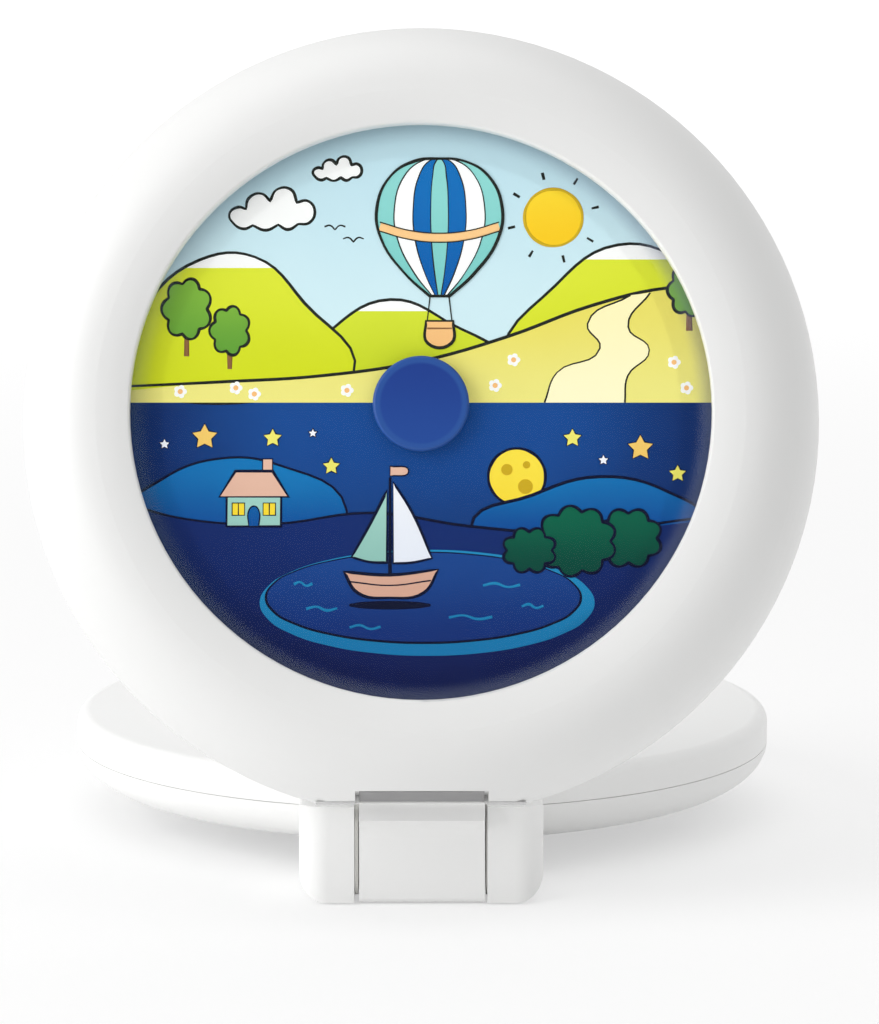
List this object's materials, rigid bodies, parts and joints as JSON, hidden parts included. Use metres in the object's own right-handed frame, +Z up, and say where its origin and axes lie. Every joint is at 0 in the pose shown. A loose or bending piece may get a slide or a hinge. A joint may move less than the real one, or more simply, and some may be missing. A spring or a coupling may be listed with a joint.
{
  "type": "folding picture alarm clock with night light",
  "caption": "Round children's alarm clock: a lit day-and-night picture in a thick white ring that folds back flat onto a round base.",
  "frame": {"origin": "middle of the round base, on the table surface", "axes": "+Z up, the picture looks towards -Y and leans back, +X to the viewer's right"},
  "size_m": [0.13, 0.1505, 0.1406],
  "materials": {
    "white_shell": "satin moulded ABS",
    "clear_window": "clear polished acrylic",
    "picture_film": "printed translucent film",
    "emblem_blue": "moulded blue",
    "opal_diffuser": "opal",
    "reflector_white": "matt white",
    "board_green": "solder mask",
    "black_components": "moulded black",
    "led_yellow": "phosphor coated",
    "display_glass": "reflective display glass",
    "strip_rubber": "elastomer",
    "key_blue": "soft touch",
    "plated_steel": "zinc plated",
    "nickel_contact": "nickel plated",
    "foot_rubber": "soft grey rubber",
    "washer_nylon": "natural nylon",
    "cell_jacket": "printed jacket",
    "speaker_paper": "pressed cone",
    "lead_jacket": "PVC jacket"
  },
  "bodies": {
    "base": {"base_top_shell": "white_shell", "base_bottom_shell": "white_shell", "main_board": "board_green", "board_parts": "black_components", "base_screws": "plated_steel", "board_screws": "plated_steel", "hollow_stub": "plated_steel", "plain_stub": "plated_steel", "speaker_frame": "plated_steel", "speaker_magnet": "plated_steel", "speaker_cone": "speaker_paper", "battery_springs": "nickel_contact", "battery_contacts": "nickel_contact", "battery_cells": "cell_jacket", "foot_ring": "foot_rubber", "lug_pads": "foot_rubber", "friction_washer": "washer_nylon", "base_lead": "lead_jacket"},
    "head": {"front_bezel": "white_shell", "picture_lens": "clear_window", "picture_print": "picture_film", "emblem_disc": "emblem_blue", "diffuser_plate": "opal_diffuser", "light_box": "reflector_white", "head_board": "board_green", "day_leds": "led_yellow", "night_leds": "led_yellow", "rear_cover": "white_shell", "head_lead": "lead_jacket", "head_screws": "plated_steel", "display_window": "clear_window", "display_glass": "display_glass", "contact_strips": "strip_rubber", "key_switches": "black_components", "slide_switch": "black_components"},
    "battery_door": {"battery_door": "white_shell", "door_screws": "plated_steel"},
    "light_knob": {"light_knob": "key_blue"},
    "set_key": {"set_key": "key_blue"},
    "alarm_key": {"alarm_key": "key_blue"},
    "minus_key": {"minus_key": "key_blue"},
    "plus_key": {"plus_key": "key_blue"},
    "light_key": {"light_key": "key_blue"}
  },
  "joints": [
    {"name": "head_fold", "type": "hinge", "parent": "base", "child": "head", "pos_m": [0, -0.0685, 0.0082], "axis": [-1, 0, 0], "range_deg": [0, 73.5]},
    {"name": "set_key_press", "type": "slide", "parent": "head", "child": "set_key", "axis": [0, -0.9588, 0.284], "range_m": [0, 0.0005], "stiffness_N_per_m": 1200},
    {"name": "alarm_key_press", "type": "slide", "parent": "head", "child": "alarm_key", "axis": [0, -0.9588, 0.284], "range_m": [0, 0.0005], "stiffness_N_per_m": 1200},
    {"name": "minus_key_press", "type": "slide", "parent": "head", "child": "minus_key", "axis": [0, -0.9588, 0.284], "range_m": [0, 0.0005], "stiffness_N_per_m": 1200},
    {"name": "plus_key_press", "type": "slide", "parent": "head", "child": "plus_key", "axis": [0, -0.9588, 0.284], "range_m": [0, 0.0005], "stiffness_N_per_m": 1200},
    {"name": "light_key_press", "type": "slide", "parent": "head", "child": "light_key", "axis": [0, -0.9588, 0.284], "range_m": [0, 0.0005], "stiffness_N_per_m": 1200},
    {"name": "light_knob_slide", "type": "slide", "parent": "head", "child": "light_knob", "axis": [0, 0.284, 0.9588], "range_m": [0, 0.004]},
    {"name": "battery_door_lift", "type": "slide", "parent": "base", "child": "battery_door", "axis": [0, 0, -1], "range_m": [0, 0.008]}
  ]
}
